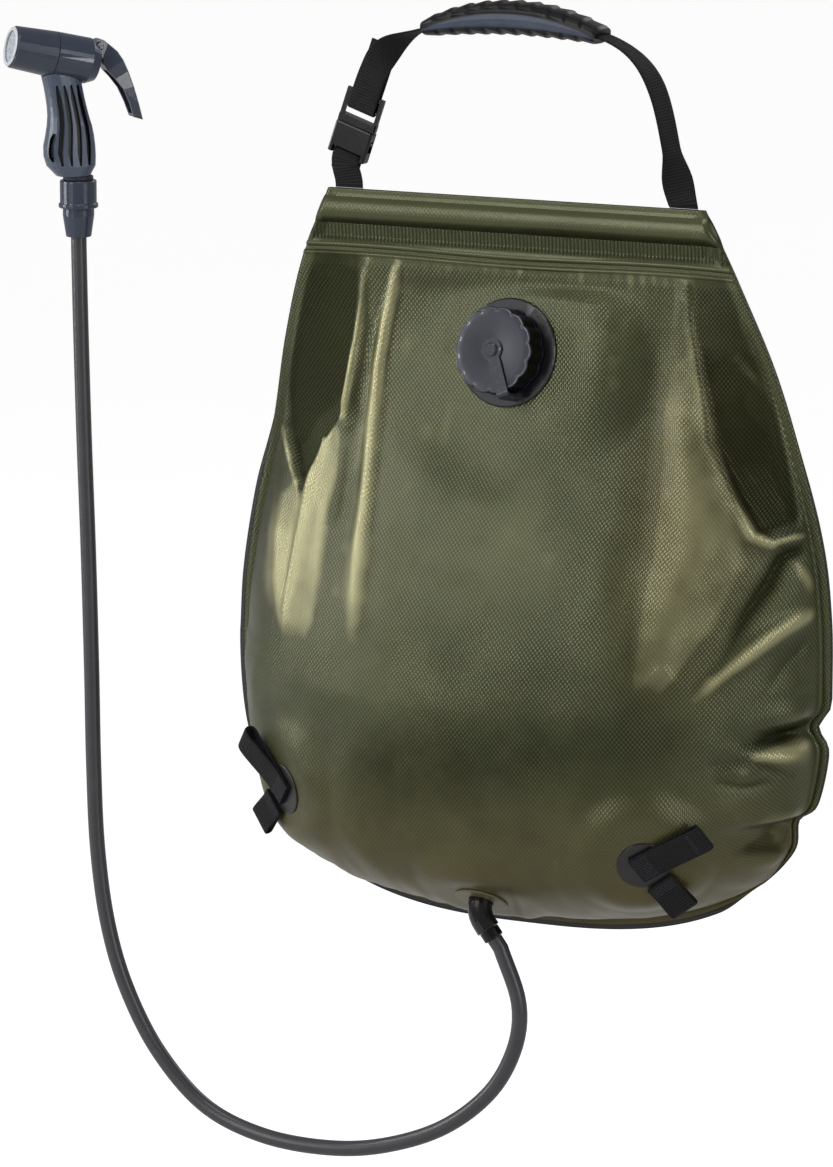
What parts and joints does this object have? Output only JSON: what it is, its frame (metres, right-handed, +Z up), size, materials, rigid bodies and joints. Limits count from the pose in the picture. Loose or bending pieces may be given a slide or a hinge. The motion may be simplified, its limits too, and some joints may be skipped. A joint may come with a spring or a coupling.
{
  "type": "camp shower bag",
  "caption": "Hanging camp shower bag with a strap handle and side-release buckle, tethered screw filler cap, bottom outlet, hose and trigger shower head.",
  "frame": {"origin": "under the middle of the handle's grip, where a hook or branch carries the bag", "axes": "+Z up along the hanging bag, +X to the bag's right as its filler is looked at, -Y out of its front"},
  "size_m": [0.6849, 0.1991, 0.9602],
  "materials": {
    "front_sheet": "embossed semi-gloss sheet",
    "back_sheet": "smooth satin sheet",
    "webbing": "ribbed webbing",
    "grip_rubber": "satin",
    "gloss_black": "gloss",
    "black_plastic": "satin",
    "fitting_plastic": "satin",
    "seal_rubber": "matte",
    "hose_rubber": "semi-gloss",
    "patch_sheet": "satin",
    "head_plastic": "gloss",
    "handle_plastic": "satin",
    "bright_ring": "polished",
    "steel": "brushed"
  },
  "bodies": {
    "handle": {"grip": "grip_rubber", "handle_strap": "webbing", "lower_strap": "webbing", "buckle_male": "gloss_black", "buckle_female": "gloss_black"},
    "prong_left": {"prong_left": "gloss_black"},
    "prong_right": {"prong_right": "gloss_black"},
    "bag": {"front_panel": "front_sheet", "back_panel": "back_sheet", "hem_rod": "black_plastic", "strap_anchor_left": "webbing", "strap_anchor_right": "webbing", "filler_flange": "fitting_plastic", "filler_neck": "fitting_plastic", "outlet_ring": "front_sheet", "outlet_elbow": "gloss_black", "hose_ferrule": "gloss_black", "hose": "hose_rubber", "patch_left": "patch_sheet", "patch_right": "patch_sheet", "head_collar": "head_plastic", "neck_seal": "seal_rubber", "handle_shell": "handle_plastic", "handle_core": "black_plastic", "barrel_body": "head_plastic", "nozzle_sleeve": "head_plastic", "spray_plate": "black_plastic", "spray_ring": "bright_ring", "spring_retainer": "black_plastic", "valve_spring": "steel", "lever_pin": "steel"},
    "cap_pin": {"tether_pin": "fitting_plastic", "cap_tether": "fitting_plastic"},
    "cap": {"cap_skirt": "fitting_plastic", "cap_top": "fitting_plastic", "cap_gasket": "seal_rubber"},
    "trigger": {"trigger_lever": "head_plastic"},
    "valve": {"valve_plunger": "black_plastic"},
    "hose_nut": {"hose_nut": "head_plastic"},
    "tab_upper_left": {"upper_tab_left": "webbing"},
    "tab_lower_left": {"lower_tab_left": "webbing"},
    "tab_upper_right": {"upper_tab_right": "webbing"},
    "tab_lower_right": {"lower_tab_right": "webbing"}
  },
  "joints": [
    {"name": "bag_swing", "type": "hinge", "parent": "handle", "child": "bag", "pos_m": [0, 0, -0.1319], "axis": [1, 0, 0], "range_deg": [-80, 80]},
    {"name": "prong_left_squeeze", "type": "hinge", "parent": "handle", "child": "prong_left", "pos_m": [-0.15334, 0, -0.07877], "axis": [0, -1, 0], "range_deg": [0, 8], "stiffness_Nm_per_rad": 0.1, "springref_deg": -5.73},
    {"name": "prong_right_squeeze", "type": "hinge", "parent": "handle", "child": "prong_right", "pos_m": [-0.13018, 0, -0.08674], "axis": [0, 1, 0], "range_deg": [0, 8], "stiffness_Nm_per_rad": 0.1, "springref_deg": -5.73},
    {"name": "cap_turn", "type": "hinge", "parent": "cap_pin", "child": "cap", "pos_m": [0.00239, -0.01568, -0.25638], "axis": [-0.0849, -0.9707, 0.225], "range_deg": [0, 540]},
    {"name": "cap_lift", "type": "slide", "parent": "bag", "child": "cap_pin", "axis": [-0.0849, -0.9707, 0.225], "range_m": [0, 0.0061], "deforming": ["cap_tether"]},
    {"name": "trigger_pull", "type": "hinge", "parent": "bag", "child": "trigger", "pos_m": [-0.3547, -0.04626, -0.0225], "axis": [-0.7193, 0.6947, 0], "range_deg": [0, 14], "stiffness_Nm_per_rad": 0.8, "springref_deg": -8.59},
    {"name": "valve_slide", "type": "slide", "parent": "bag", "child": "valve", "axis": [-0.6787, -0.7028, 0.213], "range_m": [0, 0.0034], "deforming": ["valve_spring"]},
    {"name": "hose_nut_turn", "type": "hinge", "parent": "bag", "child": "hose_nut", "pos_m": [-0.3676, -0.05962, -0.1786], "axis": [0, 0, 1], "continuous": true},
    {"name": "upper_tab_left_lift", "type": "hinge", "parent": "bag", "child": "tab_upper_left", "pos_m": [-0.17695, -0.061, -0.63076], "axis": [0.5167, -0.4782, 0.7101], "range_deg": [0, 90]},
    {"name": "lower_tab_left_lift", "type": "hinge", "parent": "bag", "child": "tab_lower_left", "pos_m": [-0.19253, -0.04916, -0.63884], "axis": [-0.6237, 0.2697, 0.7337], "range_deg": [0, 90]},
    {"name": "upper_tab_right_lift", "type": "hinge", "parent": "bag", "child": "tab_upper_right", "pos_m": [0.14225, -0.06974, -0.65823], "axis": [0.3744, 0.5236, -0.7653], "range_deg": [0, 90]},
    {"name": "lower_tab_right_lift", "type": "hinge", "parent": "bag", "child": "tab_lower_right", "pos_m": [0.15711, -0.05818, -0.66839], "axis": [-0.7972, -0.1005, -0.5953], "range_deg": [0, 90]}
  ],
  "couplings": [
    {"joint": "prong_right_squeeze", "follows": "prong_left_squeeze", "ratio": 1},
    {"joint": "cap_lift", "follows": "cap_turn", "m_per_rad": 0.00063662},
    {"joint": "valve_slide", "follows": "trigger_pull", "m_per_rad": 0.013}
  ]
}
